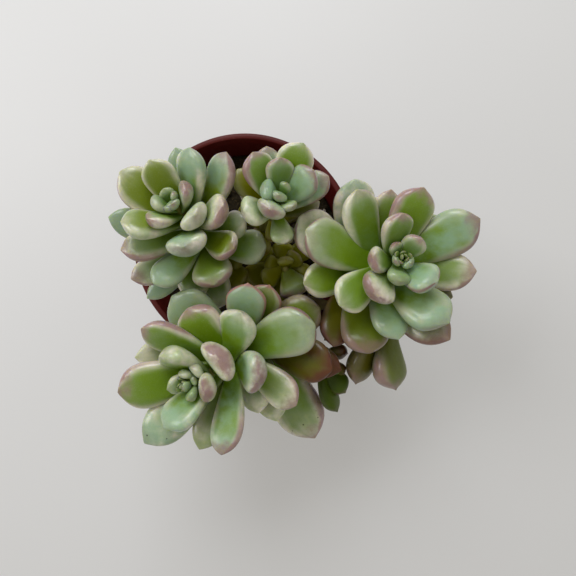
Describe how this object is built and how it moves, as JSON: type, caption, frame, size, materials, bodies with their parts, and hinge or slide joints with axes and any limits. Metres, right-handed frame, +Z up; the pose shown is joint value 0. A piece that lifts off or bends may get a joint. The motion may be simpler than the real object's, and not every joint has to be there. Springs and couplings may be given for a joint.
{
  "type": "potted sedum",
  "caption": "Variegated sedum with fleshy leaf rosettes on leaning stems, in a soil-filled round plastic nursery pot.",
  "frame": {"origin": "centre of the pot's flat underside", "axes": "+Z up, +Y towards the back of the plant and +X to its right, as the picture looks down on it"},
  "size_m": [0.1044, 0.1017, 0.101],
  "materials": {
    "pot_plastic": "satin moulded",
    "potting_soil": "crumbly matt",
    "green_leaf": "smooth waxy"
  },
  "bodies": {
    "root": {"pot": "pot_plastic", "soil": "potting_soil", "leafy_stem_back_left": "green_leaf", "leafy_stem_back": "green_leaf", "leafy_stem_right": "green_leaf", "leafy_stem_front_left": "green_leaf", "leafy_stem_front_low": "green_leaf", "leafy_stem_centre": "green_leaf", "leafy_stem_right_low": "green_leaf"}
  },
  "joints": []
}
